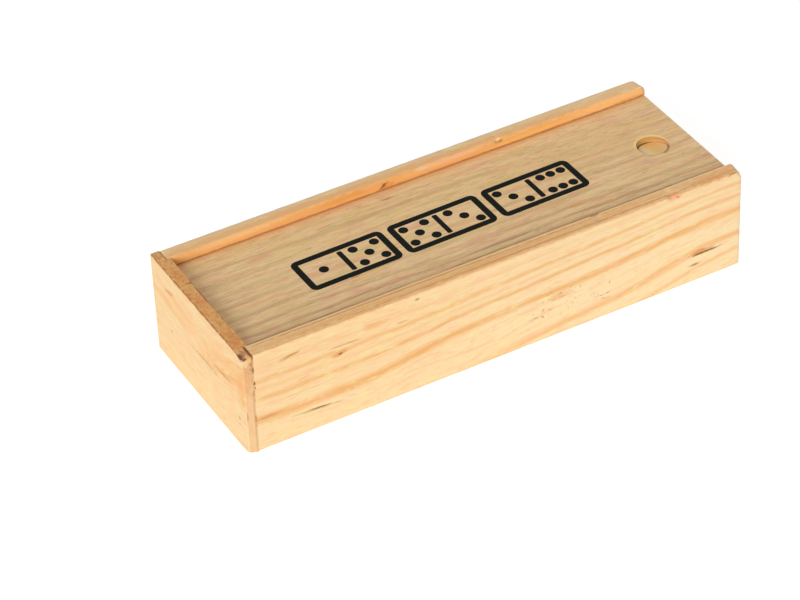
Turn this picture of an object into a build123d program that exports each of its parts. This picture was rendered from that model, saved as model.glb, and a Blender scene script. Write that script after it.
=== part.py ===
from build123d import *
import os

# Wooden box with a sliding lid, packed with a double-six set of domino tiles.
# Millimetres. The origin is the middle of the underside, +X points at the end where the
# lid slides out, +Y at the back wall and +Z up.

# Outside of the closed box
BOX_LENGTH = 145.0
BOX_WIDTH = 50.0
BOX_HEIGHT = 30.0

# Boards
SIDE_THICKNESS = 4.5
CLOSED_END_THICKNESS = 3.7
CLOSED_END_LIP = 2.5  # what its rabbets leave over the ends of the side walls
OPEN_END_THICKNESS = 4.0
BOTTOM_THICKNESS = 2.8
BOTTOM_SEAT = 2.2  # how far the bottom panel reaches under each side wall

# Lid and the grooves it runs in
LID_THICKNESS = 3.0
LID_DROP = 3.0  # from the top of the rails down to the top of the lid
LID_GROOVE_DEPTH = 2.0
LID_SIDE_CLEARANCE = 0.25
LID_END_CLEARANCE = 0.2
LID_TOP_CLEARANCE = 0.2
LID_UNDER_CLEARANCE = 0.1
LID_EXIT_CLEARANCE = 2.7  # between the box and the lid when the lid is right out

# Thumb notch: a flat-ended round cutter, plunged with its top leaning to the back
NOTCH_RADIUS = 4.3
NOTCH_TILT = 12.5
NOTCH_DEPTH = 0.8  # at the middle of the cutter
NOTCH_SETBACK = 11.0  # from the open end to the middle of the notch

# Edges
RAIL_END_RADIUS = 1.2
EASED_EDGE = 0.4
LID_EASED_EDGE = 0.3
LID_LEAD_IN = 0.5

# Domino tiles, stacked flat in columns along the box, each one crossways
TILE_COLUMNS = 7
TILE_LAYERS = 4
HIGHEST_PIPS = 6
TILE_SIDE_GAP = 0.5  # between neighbours, and to the end boards
TILE_END_GAP = 1.5  # to each side wall
TILE_HEADROOM = 1.2  # from the top layer to the lid
TILE_SIDE_SHIFT = 0.15  # how far a tile has slid from its place along the box
TILE_END_SHIFT = 0.5  # and across it
TILE_EASED_EDGE = 0.6
PIP_RADIUS = 1.45
PIP_DEPTH = 0.5
PIP_SPACING = 5.0
DIVIDER_LENGTH = 15.0
DIVIDER_WIDTH = 0.9
DIVIDER_DEPTH = 0.4

# The tiles are dealt into the box in this stride, so that each layer is mixed
DEAL_STRIDE = 11

# Where each count of pips goes on its half of a tile, in steps of PIP_SPACING
PIP_PLACES = {
    0: [],
    1: [(0, 0)],
    2: [(-1, -1), (1, 1)],
    3: [(-1, -1), (0, 0), (1, 1)],
    4: [(-1, -1), (-1, 1), (1, -1), (1, 1)],
    5: [(-1, -1), (-1, 1), (0, 0), (1, -1), (1, 1)],
    6: [(-1, -1), (-1, 0), (-1, 1), (1, -1), (1, 0), (1, 1)],
}

MATCH = 0.001  # how near an edge's middle is to the place it is picked by

# Lengthways
CLOSED_FACE = -BOX_LENGTH / 2
OPEN_FACE = BOX_LENGTH / 2
LIP_INNER = CLOSED_FACE + CLOSED_END_LIP
INSIDE_START = CLOSED_FACE + CLOSED_END_THICKNESS
INSIDE_END = OPEN_FACE - OPEN_END_THICKNESS
LID_START = LIP_INNER + LID_END_CLEARANCE
LID_LENGTH = OPEN_FACE - LID_START
LID_TRAVEL = LID_LENGTH + LID_EXIT_CLEARANCE

# Crossways, from the centre line
OUTER_FACE = BOX_WIDTH / 2
INNER_FACE = OUTER_FACE - SIDE_THICKNESS
GROOVE_WALL = INNER_FACE + LID_GROOVE_DEPTH
BOTTOM_EDGE = INNER_FACE + BOTTOM_SEAT
LID_EDGE = GROOVE_WALL - LID_SIDE_CLEARANCE

# Upwards
LID_TOP = BOX_HEIGHT - LID_DROP
LID_UNDERSIDE = LID_TOP - LID_THICKNESS
GROOVE_ROOF = LID_TOP + LID_TOP_CLEARANCE
GROOVE_FLOOR = LID_UNDERSIDE - LID_UNDER_CLEARANCE

# Tiles
TILE_WIDTH = (INSIDE_END - INSIDE_START - TILE_SIDE_GAP * (TILE_COLUMNS + 1)) / TILE_COLUMNS
TILE_LENGTH = 2 * (INNER_FACE - TILE_END_GAP)
TILE_THICKNESS = (LID_UNDERSIDE - TILE_HEADROOM - BOTTOM_THICKNESS) / TILE_LAYERS


def block(x_span, y_span, z_span):
    """A box between the two limits given along each axis, in either order."""
    spans = (x_span, y_span, z_span)
    middle = [sum(span) / 2 for span in spans]
    size = [abs(span[1] - span[0]) for span in spans]
    return Pos(*middle) * Box(*size)


def edges_along(solid, axis, **place):
    """The straight edges parallel to an axis whose middles have the given X, Y or Z."""
    found = solid.edges().filter_by(axis)
    for letter, value in place.items():
        found = found.filter_by(lambda edge: abs(getattr(edge.center(), letter) - value) < MATCH)
    return found


def side_wall(side):
    """One long board with the lid's groove and the bottom's rabbet; side is -1 or 1."""
    outer = side * OUTER_FACE
    inner = side * INNER_FACE
    length = (LIP_INNER, OPEN_FACE)
    wall = block(length, (outer, inner), (0, BOX_HEIGHT))
    wall -= block(length, (inner, side * GROOVE_WALL), (GROOVE_FLOOR, GROOVE_ROOF))
    wall -= block(length, (inner, side * BOTTOM_EDGE), (0, BOTTOM_THICKNESS))
    wall = fillet(edges_along(wall, Axis.Y, X=OPEN_FACE, Z=BOX_HEIGHT), RAIL_END_RADIUS)
    long_edges = edges_along(wall, Axis.X, Y=outer, Z=BOX_HEIGHT)
    long_edges += edges_along(wall, Axis.X, Y=inner, Z=BOX_HEIGHT)
    long_edges += edges_along(wall, Axis.X, Y=outer, Z=0)
    return fillet(long_edges, EASED_EDGE)


def end_board_closed():
    """The full-height end board: rabbeted lips outside, a body between the side walls."""
    height = (0, BOX_HEIGHT)
    lip = block((CLOSED_FACE, LIP_INNER), (-OUTER_FACE, OUTER_FACE), height)
    body = block((LIP_INNER, INSIDE_START), (-INNER_FACE, INNER_FACE), height)
    body -= block((LIP_INNER, INSIDE_START), (-INNER_FACE, INNER_FACE), (GROOVE_FLOOR, GROOVE_ROOF))
    body -= block((LIP_INNER, INSIDE_START), (-INNER_FACE, INNER_FACE), (0, BOTTOM_THICKNESS))
    board = lip + body
    edges = edges_along(board, Axis.Y, X=CLOSED_FACE)
    edges += edges_along(board, Axis.Z, X=CLOSED_FACE)
    return fillet(edges, EASED_EDGE)


def end_board_open():
    """The low end board, which stands on the bottom and lets the lid pass over it."""
    board = block((INSIDE_END, OPEN_FACE), (-INNER_FACE, INNER_FACE), (BOTTOM_THICKNESS, GROOVE_FLOOR))
    return fillet(edges_along(board, Axis.Y, X=OPEN_FACE, Z=GROOVE_FLOOR), EASED_EDGE)


def bottom_panel():
    """The thin panel let into the rabbets of the side walls and the closed end."""
    return block((LIP_INNER, OPEN_FACE), (-BOTTOM_EDGE, BOTTOM_EDGE), (0, BOTTOM_THICKNESS))


def notch_cutter():
    """The round cutter that makes the thumb notch, where it stops."""
    cutter = Cylinder(NOTCH_RADIUS, 2 * LID_THICKNESS, align=(Align.CENTER, Align.CENTER, Align.MIN))
    place = Pos(OPEN_FACE - NOTCH_SETBACK, 0, LID_TOP - NOTCH_DEPTH)
    return place * Rot(X=-NOTCH_TILT) * cutter


def lid():
    """The flat board that slides in the grooves."""
    board = block((LID_START, OPEN_FACE), (-LID_EDGE, LID_EDGE), (LID_UNDERSIDE, LID_TOP))
    board = chamfer(edges_along(board, Axis.Y, X=LID_START), LID_LEAD_IN)
    board = fillet(edges_along(board, Axis.Y, X=OPEN_FACE), LID_EASED_EDGE)
    return board - notch_cutter()


def pip_cutter():
    """A ball whose cap is as wide and deep as a pip, with its lowest point at the origin."""
    ball_radius = (PIP_RADIUS**2 + PIP_DEPTH**2) / (2 * PIP_DEPTH)
    return Pos(0, 0, ball_radius) * Sphere(ball_radius)


def blank_tile():
    """A tile with eased edges and its dividing line, standing on the origin."""
    tile = Box(TILE_WIDTH, TILE_LENGTH, TILE_THICKNESS, align=(Align.CENTER, Align.CENTER, Align.MIN))
    tile = fillet(tile.edges(), TILE_EASED_EDGE)
    divider = extrude(SlotOverall(DIVIDER_LENGTH, DIVIDER_WIDTH), DIVIDER_DEPTH)
    return tile - Pos(0, 0, TILE_THICKNESS - DIVIDER_DEPTH) * divider


def domino(blank, back_pips, front_pips):
    """A tile with its two counts of pips, one on each half."""
    cutters = []
    for half, pips in ((1, back_pips), (-1, front_pips)):
        for across, along in PIP_PLACES[pips]:
            x = across * PIP_SPACING
            y = half * TILE_LENGTH / 4 + along * PIP_SPACING
            cutters.append(Pos(x, y, TILE_THICKNESS - PIP_DEPTH) * pip_cutter())
    return blank - cutters if cutters else blank


def tile_place(number):
    """Where the tile dealt in this order stands, a little off its column's middle."""
    slot = number * DEAL_STRIDE % (TILE_COLUMNS * TILE_LAYERS)
    layer, column = divmod(slot, TILE_COLUMNS)
    pitch = TILE_WIDTH + TILE_SIDE_GAP
    x = INSIDE_START + TILE_SIDE_GAP + TILE_WIDTH / 2 + column * pitch
    x += TILE_SIDE_SHIFT * ((column + 2 * layer) % 3 - 1)
    y = TILE_END_SHIFT * ((2 * column + layer) % 5 - 2) / 2
    return Pos(x, y, BOTTOM_THICKNESS + layer * TILE_THICKNESS)


def domino_set():
    """Every tile of the set by name, in its place in the box."""
    blank = blank_tile()
    tiles = {}
    for low in range(HIGHEST_PIPS + 1):
        for high in range(low, HIGHEST_PIPS + 1):
            place = tile_place(len(tiles))
            tiles[f"tile_{low}_{high}"] = place * domino(blank, low, high)
    return tiles


def all_pieces():
    """Every piece of the box by its node name."""
    pieces = {
        "side_wall_front": side_wall(-1),
        "side_wall_back": side_wall(1),
        "end_board_closed": end_board_closed(),
        "end_board_open": end_board_open(),
        "bottom_panel": bottom_panel(),
        "lid": lid(),
    }
    pieces.update(domino_set())
    return pieces


os.makedirs("parts", exist_ok=True)
for name, piece in all_pieces().items():
    export_step(piece, f"parts/{name}.step")

print(f"tile {TILE_LENGTH:.2f} x {TILE_WIDTH:.2f} x {TILE_THICKNESS:.2f} mm")
print(f"lid {LID_LENGTH:.2f} x {2 * LID_EDGE:.2f} x {LID_THICKNESS:.2f} mm, travel {LID_TRAVEL:.2f} mm")
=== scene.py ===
"""Looks of a pine box with a sliding lid, packed with a set of domino tiles.

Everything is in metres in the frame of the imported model, and materials work in
millimetres on Object coordinates: +X is the end where the lid slides out, +Y the back
wall and +Z up.
"""

import math

import bmesh
import bpy
from bpy.props import FloatProperty, FloatVectorProperty, PointerProperty
from mathutils import Matrix, Vector


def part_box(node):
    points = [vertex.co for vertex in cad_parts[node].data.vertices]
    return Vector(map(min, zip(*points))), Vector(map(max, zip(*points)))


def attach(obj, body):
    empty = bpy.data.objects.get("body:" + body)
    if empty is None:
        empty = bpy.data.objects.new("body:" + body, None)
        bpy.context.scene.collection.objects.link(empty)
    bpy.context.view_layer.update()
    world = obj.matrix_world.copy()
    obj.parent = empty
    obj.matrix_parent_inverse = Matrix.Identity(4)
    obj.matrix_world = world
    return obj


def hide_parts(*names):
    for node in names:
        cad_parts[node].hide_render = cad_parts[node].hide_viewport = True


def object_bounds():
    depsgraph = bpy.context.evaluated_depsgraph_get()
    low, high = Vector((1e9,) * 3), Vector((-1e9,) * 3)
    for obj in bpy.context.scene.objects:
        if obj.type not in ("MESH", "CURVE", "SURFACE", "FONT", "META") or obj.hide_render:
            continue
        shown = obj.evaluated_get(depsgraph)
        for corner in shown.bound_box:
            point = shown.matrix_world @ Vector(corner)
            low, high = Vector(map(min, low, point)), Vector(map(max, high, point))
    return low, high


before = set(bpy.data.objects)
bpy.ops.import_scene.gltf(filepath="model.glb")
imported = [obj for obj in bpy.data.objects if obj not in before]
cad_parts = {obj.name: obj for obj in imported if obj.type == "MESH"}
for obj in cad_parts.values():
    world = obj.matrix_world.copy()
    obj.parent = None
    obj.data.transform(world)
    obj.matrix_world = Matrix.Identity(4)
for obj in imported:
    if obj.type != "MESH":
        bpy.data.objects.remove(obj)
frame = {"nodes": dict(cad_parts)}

bl_info = {
    "name": "Domino Storage Box",
    "version": (1, 0, 0),
    "blender": (4, 5, 0),
    "location": "View3D > Sidebar > Domino Box",
    "description": "Pine boards, printed lid, painted tiles and studio for a domino box",
    "category": "Object",
}

MM = 0.001
BOX_LOW, BOX_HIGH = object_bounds()


def corners(node):
    """The low and the high corner of a node, in millimetres."""
    return [[round(at / MM, 3) for at in corner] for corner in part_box(node)]


# Places on the boards, in millimetres
CLOSED_FACE = corners("end_board_closed")[0][0]
CLOSED_INSIDE = corners("end_board_closed")[1][0]
LIP_INNER, INNER_FACE = corners("side_wall_back")[0][:2]
OPEN_FACE, OUTER_FACE, BOX_TOP = corners("side_wall_back")[1]
BOTTOM_EDGE, BOTTOM_TOP = corners("bottom_panel")[1][1:]
LID_EDGE, LID_TOP = corners("lid")[1][1:]
GROOVE_FLOOR = corners("end_board_open")[1][2]
GROOVE_ROOF = LID_TOP + 0.2  # the lid's clearance above
GROOVE_WALL = LID_EDGE + 0.25  # and beside
NEAR = 0.01  # how far off still counts as being on a face


def linear(code):
    """The scene-linear colour of a display colour given as six hex digits."""
    shares = [int(code[i : i + 2], 16) / 255 for i in (0, 2, 4)]
    return tuple(s / 12.92 if s <= 0.04045 else ((s + 0.055) / 1.055) ** 2.4 for s in shares)


def colour(name, description, code):
    """A colour property whose default is a display colour."""
    return FloatVectorProperty(
        name=name, description=description, subtype="COLOR", size=3, min=0, max=1,
        default=linear(code),
    )


def length(name, description, millimetres):
    """A length property whose default is in millimetres."""
    return FloatProperty(
        name=name, description=description, subtype="DISTANCE", unit="LENGTH", min=0,
        default=millimetres * MM, precision=5,
    )


# ---------------------------------------------------------------------------
# What a user would change


class PineSettings(bpy.types.PropertyGroup):
    """Colours of the pine boards."""

    early_wood: colour("Early wood", "Pale wood between the rings", "F9DAA8")
    late_wood: colour("Late wood", "Orange wood of the rings", "EFB26A")
    end_grain: colour("End grain", "Wood cut across its fibres", "F1C28D")
    resin: colour("Resin", "Fine dark lines of resin", "6E4A26")
    lid_early: colour("Lid early wood", "Pale wood of the lid", "F4D09A")
    lid_late: colour("Lid late wood", "Brown streaks of the lid", "BF9260")


class TileSettings(bpy.types.PropertyGroup):
    """Wood and paint of the domino tiles."""

    wood: colour("Wood", "Sanded and sealed tile wood", "EBCF9F")
    streak: colour("Streak", "Darker grain of the tile wood", "D7AE74")
    paint: colour("Paint", "Paint in the pips and the dividing lines", "15130F")


class PrintSettings(bpy.types.PropertyGroup):
    """The row of domino tiles printed on the lid."""

    ink: colour("Ink", "Colour of the print", "0D110E")
    tile_width: length("Tile width", "Short side of a printed tile", 13.2)
    stroke: length("Stroke", "Width of the printed lines", 1.8)
    pip_radius: length("Pip radius", "Radius of a printed pip", 1.3)
    pip_spacing: length("Pip spacing", "Between neighbouring pips", 3.1)
    gap: length("Gap", "Between neighbouring printed tiles", 1.6)
    corner: length("Corner", "Rounding of a printed tile", 1.9)
    thickness: length("Thickness", "How far the ink is drawn out", 0.03)


class StudioSettings(bpy.types.PropertyGroup):
    """Camera and light."""

    azimuth: FloatProperty(
        name="Azimuth", description="Camera's turn round the box", subtype="ANGLE",
        unit="ROTATION", default=math.radians(-28.262),
    )
    elevation: FloatProperty(
        name="Elevation", description="Camera's height above the horizon", subtype="ANGLE",
        unit="ROTATION", default=math.radians(38.0),
    )
    roll: FloatProperty(
        name="Roll", description="Camera's turn round its own axis", subtype="ANGLE",
        unit="ROTATION", default=math.radians(-2.43),
    )
    distance: length("Distance", "From the camera to its target", 827.54)
    lens: FloatProperty(
        name="Lens", description="Focal length in millimetres on a 36 mm sensor",
        default=147.49, min=1,
    )
    key_strength: FloatProperty(
        name="Key lamp", description="Strength of the soft sun at the front left", default=2.28,
        min=0,
    )
    ambient: FloatProperty(
        name="Ambient", description="Brightness of the white room", default=0.5, min=0,
    )


class DominoBoxSettings(bpy.types.PropertyGroup):
    """All settings of the domino box."""

    pine: PointerProperty(type=PineSettings, name="Pine", description="Pine boards")
    tiles: PointerProperty(type=TileSettings, name="Tiles", description="Domino tiles")
    ink: PointerProperty(type=PrintSettings, name="Print", description="Print on the lid")
    studio: PointerProperty(type=StudioSettings, name="Studio", description="Camera and light")


# ---------------------------------------------------------------------------
# Shader maths


class Wire:
    """An output socket. Arithmetic on it adds Math nodes to its tree."""

    def __init__(self, nodes, socket):
        self.nodes = nodes
        self.socket = socket

    def math(self, operation, *values):
        return self.nodes.node(
            "ShaderNodeMath", {"operation": operation}, dict(enumerate(values))
        )

    def __add__(self, other):
        return self.math("ADD", self, other)

    def __sub__(self, other):
        return self.math("SUBTRACT", self, other)

    def __rsub__(self, other):
        return self.math("SUBTRACT", other, self)

    def __mul__(self, other):
        return self.math("MULTIPLY", self, other)

    def __truediv__(self, other):
        return self.math("DIVIDE", self, other)

    def __abs__(self):
        return self.math("ABSOLUTE", self)

    def __floor__(self):
        return self.math("FLOOR", self)

    __radd__ = __add__
    __rmul__ = __mul__

    def root(self):
        return self.math("SQRT", self)

    def at_least(self, other):
        return self.math("MAXIMUM", self, other)

    def at_most(self, other):
        return self.math("MINIMUM", self, other)


class Nodes:
    """A node tree that gets its nodes and links from one method each."""

    def __init__(self, tree):
        self.tree = tree

    def node(self, kind, settings=None, inputs=None, output=0):
        """Adds a node: first its settings, then the values or links of its sockets."""
        node = self.tree.nodes.new(kind)
        for name, value in (settings or {}).items():
            if name == "stops":
                ramp = node.color_ramp
                while len(ramp.elements) > 1:
                    ramp.elements.remove(ramp.elements[0])
                ramp.elements[0].position = value[0][0]
                for position, _ in value[1:]:
                    ramp.elements.new(position)
                for element, (_, shade) in zip(ramp.elements, value):
                    element.color = (shade, shade, shade, 1)
            elif name == "blend":
                node.color_ramp.interpolation = value
            else:
                setattr(node, name, value)
        for key, value in (inputs or {}).items():
            socket = node.inputs[key]
            if isinstance(value, Wire):
                self.link(value, socket)
            elif socket.type == "RGBA" and len(value) == 3:
                socket.default_value = (*value, 1)
            else:
                socket.default_value = value
        return Wire(self, node.outputs[output])

    def link(self, wire, socket):
        self.tree.links.new(wire.socket, socket)


class Finish(Nodes):
    """One material, its nodes written as expressions on millimetres."""

    def __init__(self, name):
        self.material = bpy.data.materials.new(name)
        self.material.use_nodes = True
        super().__init__(self.material.node_tree)
        self.principled = self.tree.nodes["Principled BSDF"]
        here = self.node("ShaderNodeTexCoord", output="Object")
        self.place = self.scaled(here, 1 / MM, 1 / MM, 1 / MM)
        self.x, self.y, self.z = self.parts(self.place)

    def scaled(self, vector, x, y, z):
        return self.node(
            "ShaderNodeVectorMath", {"operation": "MULTIPLY"}, {0: vector, 1: (x, y, z)}
        )

    def parts(self, vector):
        """The three numbers of a vector."""
        first = self.node("ShaderNodeSeparateXYZ", inputs={0: vector})
        return [Wire(self, output) for output in first.socket.node.outputs]

    def joined(self, x, y, z):
        return self.node("ShaderNodeCombineXYZ", inputs={0: x, 1: y, 2: z})

    def mix(self, factor, first, second):
        """One colour changing to another."""
        return self.node(
            "ShaderNodeMix", {"data_type": "RGBA"}, {0: factor, 6: first, 7: second}, output=2
        )

    def step(self, value, low, high):
        """0 below low, 1 above high, smooth between."""
        return self.node(
            "ShaderNodeMapRange", {"interpolation_type": "SMOOTHSTEP"},
            {0: value, 1: low, 2: high, 3: 0.0, 4: 1.0},
        )

    def curve(self, value, low, high, stops, blend="CARDINAL"):
        """A curve through (value, height) stops; heights are from 0 to 1."""
        share = (value - low) / (high - low)
        places = [((at - low) / (high - low), height) for at, height in stops]
        return self.node("ShaderNodeValToRGB", {"stops": places, "blend": blend}, {0: share})

    def noise(self, place, detail=2.0, roughness=0.5, distortion=0.0):
        return self.node(
            "ShaderNodeTexNoise", None,
            {"Vector": place, "Scale": 1.0, "Detail": detail, "Roughness": roughness,
             "Distortion": distortion},
        )

    def random(self, vector):
        """A random number for each whole-numbered place."""
        return self.node("ShaderNodeTexWhiteNoise", None, {"Vector": vector})

    def surface(self, base, roughness, height, depth, specular=0.4):
        """Sends the results to the shader; depth is the height's full size in millimetres."""
        bump = self.node(
            "ShaderNodeBump", None,
            {"Strength": 1.0, "Distance": depth * MM, "Height": height},
        )
        sockets = self.principled.inputs
        self.link(base, sockets["Base Color"])
        self.link(roughness, sockets["Roughness"])
        self.link(bump, sockets["Normal"])
        sockets["Specular IOR Level"].default_value = specular
        return self.material


# ---------------------------------------------------------------------------
# Pine


def spot(finish, centre, size, slope=0.0):
    """1 inside an ellipsoid of the given half sizes, 0 outside, with a ragged rim.

    The ellipsoid leans by slope, its rise in Z for each step along its grain axis."""
    x, y, z = (axis - at for axis, at in zip((finish.x, finish.y, finish.z), centre))
    along = x if size[0] >= size[1] else y
    z = z - along * slope
    reach = finish.joined(x / size[0], y / size[1], z / size[2])
    distance = finish.node("ShaderNodeVectorMath", {"operation": "LENGTH"}, {0: reach}, "Value")
    return 1 - finish.step(distance + finish.ragged, 0.45, 1.15)


def ring_stops(rings, floor=0.0):
    """Ramp stops for rings given as (place, strength, rise, fall)."""
    stops = []
    for place, strength, rise, fall in rings:
        stops += [(place - rise, floor), (place, strength), (place + fall, floor)]
    return stops


def front_grain(finish):
    """Flow and rings of the front wall, as its outer face shows them."""
    along, down = finish.x - CLOSED_FACE, BOX_TOP - finish.z
    shift = 10 * finish.curve(along, 0, 145, (
        (0, 0.06), (10, 0.0), (30, 0.0), (38, 0.05), (45, 0.14), (56, 0.283), (64, 0.348),
        (75, 0.4), (90, 0.48), (100, 0.51), (110, 0.58), (120, 0.71), (130, 0.843), (145, 0.915),
    ))
    lift = 1.3 * finish.curve(along, 0, 145, (
        (0, 0.0), (35, 0.0), (45, 0.6), (55, 1.0), (65, 0.92), (80, 0.7), (95, 0.4), (108, 0.0)))
    sag = 5 * finish.curve(along, 0, 145, (
        (0, 0.0), (45, 0.0), (60, 0.7), (70, 0.8), (80, 0.8), (100, 0.6), (125, 0.5), (145, 0.0)))
    wave = finish.noise(finish.scaled(finish.place, 0.035, 0.05, 0.12), detail=1.0) - 0.5
    torn = finish.scaled(finish.place, 0.12, 1.2, 1.2)
    rough = finish.noise(torn, detail=4.0, roughness=0.7) - 0.5
    flow = down + shift * (0.42 + 0.05 * down) + wave * 0.9
    flow = flow - sag * finish.step(down, 17, 25) - lift * (1 - finish.step(down, 13.5, 17))
    level = flow - 1.25 * (finish.y + OUTER_FACE) + rough * 2.4
    rings = finish.curve(level, -7, 42, ring_stops((
        (-4.6, 0.8, 0.9, 0.7), (-2.4, 0.9, 0.9, 0.7), (-0.6, 0.7, 0.8, 0.6), (4.5, 0.3, 1.4, 1.0),
        (8.6, 0.75, 1.5, 1.2), (11.2, 0.3, 0.9, 0.7), (14.0, 0.85, 1.4, 1.1), (20.7, 1.0, 2.6, 2.3),
        (31.7, 0.8, 2.4, 1.9), (38.8, 0.6, 1.8, 1.3),
    )), blend="EASE")
    low = finish.step(flow, 26, 29) * (1 - finish.step(along, 56, 82))
    return flow, rings * (1 - low)


def left_grain(finish):
    """Flow and rings of the closed end, whose fibres run across the box."""
    along, down = OUTER_FACE - finish.y, BOX_TOP - finish.z
    shift = 5 * finish.curve(along, 0, 50, (
        (0, 0.8), (10, 0.5), (19, 0.2), (27, 0.0), (33, 0.03), (36, 0.15), (42, 0.5), (50, 0.9),
    ))
    wave = finish.noise(finish.scaled(finish.place, 0.1, 0.06, 0.12), detail=1.0) - 0.5
    torn = finish.scaled(finish.place, 1.2, 0.14, 1.2)
    rough = finish.noise(torn, detail=4.0, roughness=0.7) - 0.5
    flow = down + shift + wave * 2.5
    level = flow - 1.6 * (finish.x - CLOSED_FACE) + rough * 3.2
    rings = finish.curve(level, -8, 38, ring_stops((
        (-4.5, 0.7, 0.9, 0.6), (-1.5, 0.5, 0.9, 0.6), (2.0, 0.35, 1.0, 0.8), (5.0, 0.3, 1.0, 0.8),
        (9.0, 0.5, 1.8, 1.4), (13.6, 0.6, 2.8, 1.6), (19.0, 0.25, 1.6, 1.2),
        (25.0, 0.2, 1.8, 1.4), (32.0, 0.2, 1.8, 1.4),
    )), blend="EASE")
    patch = finish.noise(finish.scaled(finish.place, 0.06, 0.06, 0.12), detail=2.0)
    return flow, rings * finish.step(patch, 0.3, 0.62)


def round_grain(pith, spacing, sway):
    """Flow and rings of a board cut beside a pith that runs along X at the given Y and Z."""

    def grain(finish):
        drift = finish.noise(finish.scaled(finish.place, 0.014, 0.03, 0.03), detail=2.0) - 0.5
        flow = finish.z + drift * sway
        across = finish.y - pith[0]
        up = flow - pith[1]
        radius = (across * across + up * up).root()
        uneven = finish.noise(finish.joined(radius * 0.11, pith[0], pith[1]), detail=1.0)
        turns = radius / spacing + uneven * 3.0
        ring = math.floor(turns)
        share = turns - ring
        strength = finish.random(finish.joined(ring, pith[0], pith[1]))
        late = finish.step(share, 0.35, 0.9) * (1 - finish.step(share, 0.92, 1.0))
        return flow, late * (0.35 + 0.65 * strength)

    return grain


def lid_grain(finish):
    """Flow and rings of the lid, whose top shows faint, broken, slightly wavy streaks."""
    back = INNER_FACE - finish.y
    bend = 6 * finish.curve(finish.x - CLOSED_FACE, 0, 145, (
        (0, 0.0), (40, 0.06), (80, 0.02), (92, 0.12), (105, 0.45), (122, 0.8), (145, 0.95)))
    wave = finish.noise(finish.scaled(finish.place, 0.02, 0.06, 0.05), detail=2.0) - 0.5
    torn = finish.scaled(finish.place, 0.09, 1.1, 1.1)
    rough = finish.noise(torn, detail=4.0, roughness=0.65) - 0.5
    flow = back - bend * (1 - finish.step(back, 8, 26)) + wave * 3.0
    level = flow + 0.6 * (LID_TOP - finish.z) + rough * 2.4
    rings = finish.curve(level, -3, 44, ring_stops((
        (3.0, 0.35, 1.5, 0.8), (7.0, 0.8, 1.6, 0.8), (12.5, 0.4, 1.8, 0.9), (17.5, 0.4, 1.6, 0.9),
        (22.5, 0.5, 1.6, 0.8), (27.5, 0.6, 1.5, 0.8), (31.5, 0.7, 1.3, 0.7), (34.8, 0.9, 1.2, 0.7),
        (37.6, 1.0, 1.0, 0.6), (40.0, 0.8, 0.9, 0.6),
    )), blend="EASE")
    patch = finish.noise(finish.scaled(finish.place, 0.028, 0.13, 0.1), detail=3.0)
    broken = finish.step(patch + 0.006 * back, 0.46, 0.72)
    return flow, rings * (0.15 + 0.85 * broken)


# Streaks along the fibres: scale along and across them, threshold, colour and strength
BOX_STREAKS = (
    (0.03, 0.9, 0.56, "EBB47A", 0.35),
    (0.05, 1.8, 0.60, "E0B57E", 0.40),
    (0.16, 0.8, 0.51, "FBC498", 0.60),
    (0.18, 0.7, 0.51, "F6E4A4", 0.60),
    (0.40, 1.5, 0.53, "F0C084", 0.45),
)
LID_STREAKS = (
    (0.030, 1.1, 0.56, "B89B6C", 0.35),
    (0.070, 2.2, 0.56, "AC895C", 0.45),
    (0.085, 0.4, 0.49, "E8A584", 0.60),
    (0.075, 0.4, 0.49, "D8C078", 0.60),
    (0.180, 1.0, 0.52, "DE9E80", 0.40),
    (0.300, 2.4, 0.53, "97764D", 0.40),
    (0.250, 1.3, 0.54, "F7D9A8", 0.45),
    (0.090, 0.5, 0.52, "EDBD72", 0.50),
)


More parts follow.
